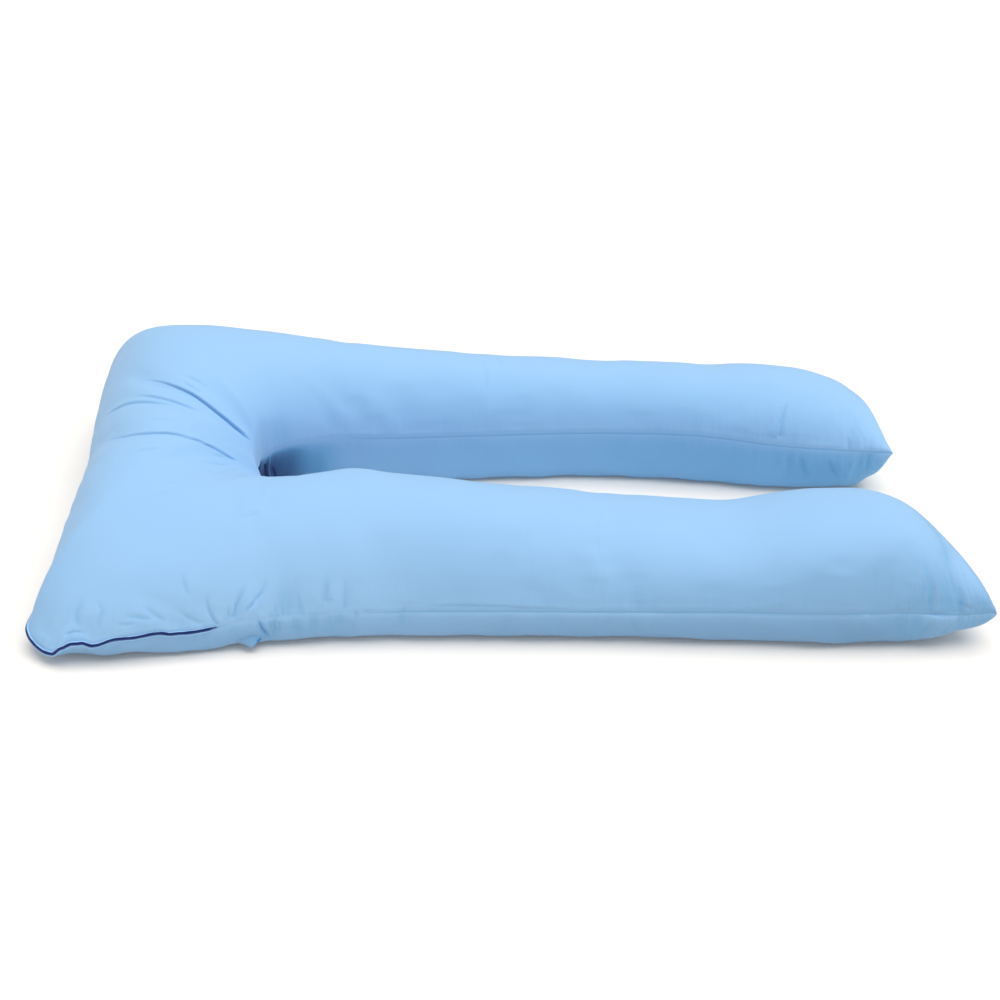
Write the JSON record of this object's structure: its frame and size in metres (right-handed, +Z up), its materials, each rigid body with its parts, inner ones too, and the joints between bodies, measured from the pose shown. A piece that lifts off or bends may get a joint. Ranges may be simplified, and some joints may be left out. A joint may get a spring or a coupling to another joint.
{
  "type": "body pillow",
  "caption": "U-shaped full-body support pillow in light blue cotton, fibre filled, lying flat, with a closed navy zip along its crown end.",
  "frame": {"origin": "middle of the pillow's footprint, on the surface that it lies on", "axes": "+X along the arms, from the crown to the arm tips; +Y from the near arm to the far arm; +Z up"},
  "size_m": [1.4928, 0.8086, 0.2678],
  "materials": {
    "blue_cotton": "smooth matt plain-weave cotton",
    "zip_coil": "satin nylon coil"
  },
  "bodies": {
    "root": {"pillow": "blue_cotton", "zip": "zip_coil"}
  },
  "joints": []
}
